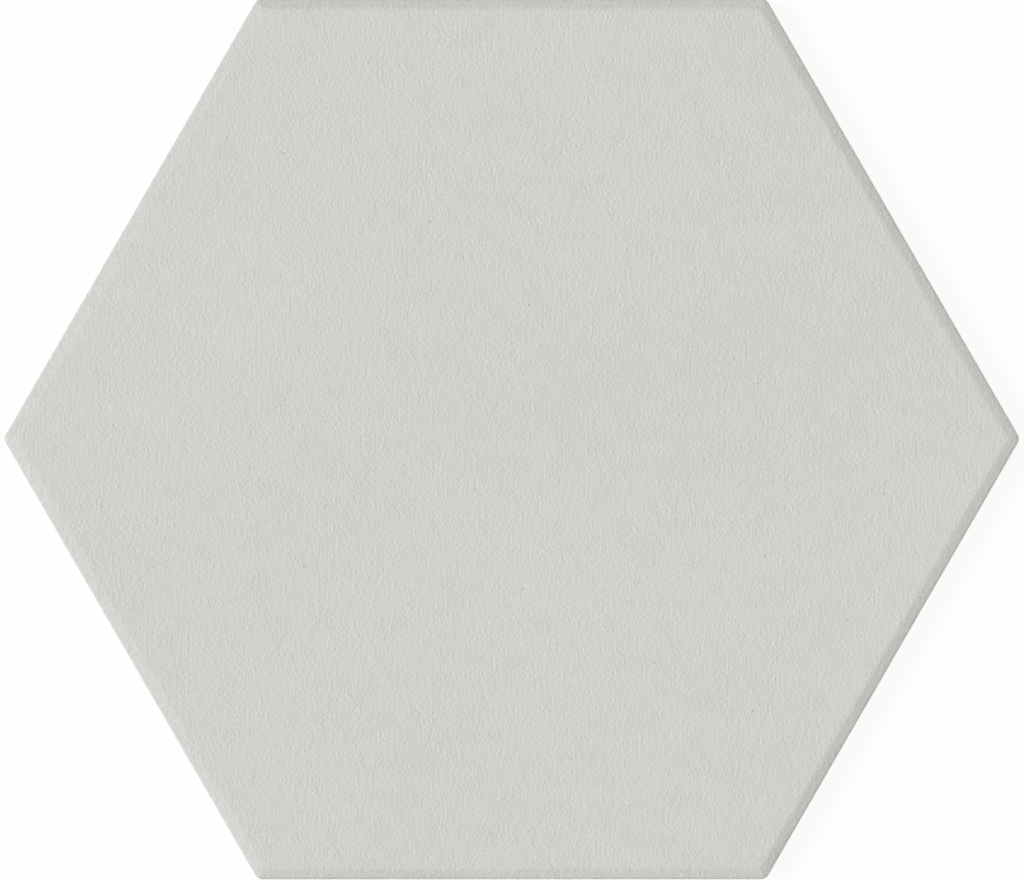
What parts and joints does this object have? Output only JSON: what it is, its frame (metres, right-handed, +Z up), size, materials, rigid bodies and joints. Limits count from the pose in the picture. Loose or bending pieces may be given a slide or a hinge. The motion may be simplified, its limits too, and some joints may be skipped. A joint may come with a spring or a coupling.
{
  "type": "hexagon floor tile",
  "caption": "Regular hexagon floor tile of pressed and fired stoneware: flat satin-matt pale grey face, softly sloped pressed edge, keyed back.",
  "frame": {"origin": "middle of the tile on the plane of the rib tops of its back, which it lies on", "axes": "+Z up out of the glazed face, +X towards one of the six tips, +Y square to one of the six sides"},
  "size_m": [0.2096, 0.182, 0.009],
  "materials": {
    "glazed_stoneware": "satin-matt pale warm grey glaze on the face and its pressed edge, bare fired body on the foot and the back"
  },
  "bodies": {
    "root": {"hexagon_tile": "glazed_stoneware"}
  },
  "joints": []
}
